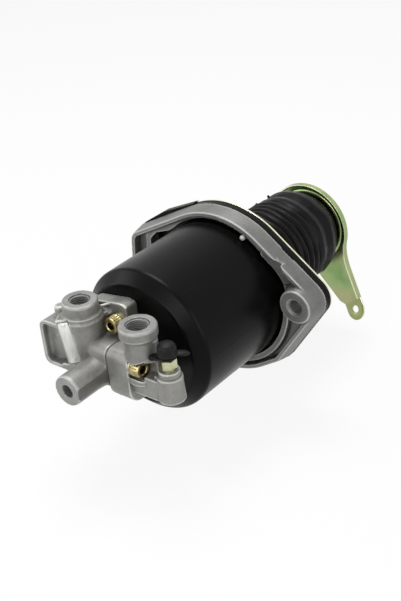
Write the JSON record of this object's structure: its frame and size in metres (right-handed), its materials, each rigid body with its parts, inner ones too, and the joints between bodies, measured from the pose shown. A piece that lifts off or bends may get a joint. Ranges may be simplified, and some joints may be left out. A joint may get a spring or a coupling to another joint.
{
  "type": "clutch servo",
  "caption": "Air and hydraulic clutch servo: steel can, cast flange and valve castings, ports, rubber boot and ring with arm.",
  "frame": {"origin": "centre of the mounting face at the back of the clamped flange stack, on the can's axis", "axes": "+Y along the can's axis towards the boot and the push rod's end, -Y towards the valve castings, +Z towards the side of the two threaded ports, +X to the right seen from the valve end"},
  "size_m": [0.189, 0.2991, 0.1504],
  "materials": {
    "cast_aluminium": "matt as cast",
    "piston_aluminium": "machined",
    "plate_aluminium": "satin",
    "black_paint": "satin black paint on steel",
    "yellow_zinc": "yellow zinc plated",
    "screw_zinc": "yellow zinc plated",
    "washer_zinc": "yellow zinc plated",
    "green_zinc": "green zinc plated",
    "spring_steel": "oiled",
    "ground_steel": "ground",
    "brass_valve": "turned",
    "boot_rubber": "satin moulded",
    "cap_rubber": "satin moulded",
    "gasket_rubber": "matt",
    "seal_rubber": "matt",
    "guide_plastic": "matt"
  },
  "bodies": {
    "housing": {"cylinder": "black_paint", "flange_ring": "cast_aluminium", "rim_gasket": "gasket_rubber", "rear_cover": "yellow_zinc", "stiffener_plate": "black_paint", "valve_housing": "cast_aluminium", "hydraulic_housing": "cast_aluminium", "nameplate": "plate_aluminium", "nameplate_rivets": "plate_aluminium", "housing_screws": "screw_zinc", "hydraulic_screw": "screw_zinc", "flat_washers": "washer_zinc", "spring_washers": "washer_zinc", "hydraulic_sleeve": "ground_steel", "preload_spring": "spring_steel", "relay_spring": "spring_steel", "relay_plug": "piston_aluminium", "plug_ring": "spring_steel", "boot": "boot_rubber", "cap_strap": "cap_rubber"},
    "piston": {"air_piston": "piston_aluminium", "piston_seal": "seal_rubber", "guide_ring": "guide_plastic", "hydraulic_plunger": "ground_steel", "plunger_seal": "seal_rubber", "rod_clip": "spring_steel"},
    "rod": {"push_rod": "ground_steel"},
    "ring": {"end_ring": "yellow_zinc"},
    "bleeder": {"bleed_screw": "green_zinc"},
    "cap": {"dust_cap": "cap_rubber"},
    "relay": {"relay_piston": "piston_aluminium"},
    "inlet": {"inlet_valve": "brass_valve"}
  },
  "joints": [
    {"name": "piston_slide", "type": "slide", "parent": "housing", "child": "piston", "axis": [0, 1, 0], "range_m": [-0.045, 0], "stiffness_N_per_m": 900, "springref_m": 0.06, "deforming": ["preload_spring"]},
    {"name": "rod_tilt", "type": "hinge", "parent": "piston", "child": "rod", "pos_m": [0, -0.0078, 0], "axis": [1, 0, 0], "range_deg": [-3, 3]},
    {"name": "ring_slide", "type": "slide", "parent": "housing", "child": "ring", "axis": [0, 1, 0], "range_m": [-0.02, 0.035], "stiffness_N_per_m": 400, "deforming": ["boot"]},
    {"name": "bleed_turn", "type": "hinge", "parent": "housing", "child": "bleeder", "pos_m": [0.0505, -0.1405, 0], "axis": [0, 0, 1], "range_deg": [0, 270]},
    {"name": "cap_lift", "type": "slide", "parent": "bleeder", "child": "cap", "axis": [0, 0, 1], "range_m": [0, 0.0145]},
    {"name": "relay_slide", "type": "slide", "parent": "housing", "child": "relay", "axis": [0, 0, 1], "range_m": [0, 0.003], "stiffness_N_per_m": 500, "springref_m": -0.006, "deforming": ["relay_spring"]},
    {"name": "inlet_slide", "type": "slide", "parent": "housing", "child": "inlet", "axis": [0, 0, 1], "range_m": [0, 0.0025], "stiffness_N_per_m": 400, "springref_m": -0.005}
  ]
}
